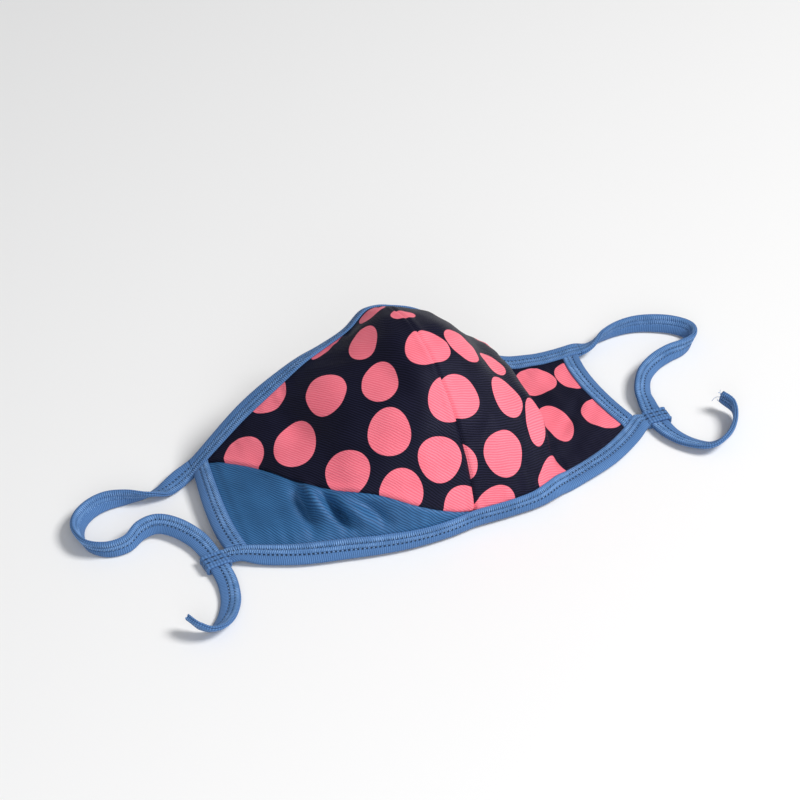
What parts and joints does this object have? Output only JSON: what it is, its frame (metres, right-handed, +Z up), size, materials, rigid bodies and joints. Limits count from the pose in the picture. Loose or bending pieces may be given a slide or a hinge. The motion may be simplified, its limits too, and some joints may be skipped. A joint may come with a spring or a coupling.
{
  "type": "cloth face mask",
  "caption": "Contoured cloth face mask with a middle seam, bound edges and tape ear straps held by a keeper at each lower corner, lying face up.",
  "frame": {"origin": "middle of the bounding box, on the table that the mask lies on", "axes": "+X across the mask towards the wearer's left ear strap, which is on the right in the picture; +Y from the chin edge to the nose edge; +Z up, out of the cloth's outer side"},
  "size_m": [0.3304, 0.1202, 0.0714],
  "materials": {
    "printed_cloth": "matt ribbed knit, near-black navy with coral pink polka dots",
    "plain_cloth": "matt ribbed knit, mid blue",
    "tape": "matt knitted tape, denim blue, with two rows of stitches"
  },
  "bodies": {
    "root": {"panel_right_print": "printed_cloth", "panel_left_print": "printed_cloth", "panel_left_chin": "plain_cloth", "binding_nose": "tape", "binding_chin": "tape", "binding_side_left": "tape", "binding_side_right": "tape", "ear_strap_left": "tape", "ear_strap_right": "tape", "keeper_left": "tape", "keeper_right": "tape"}
  },
  "joints": []
}
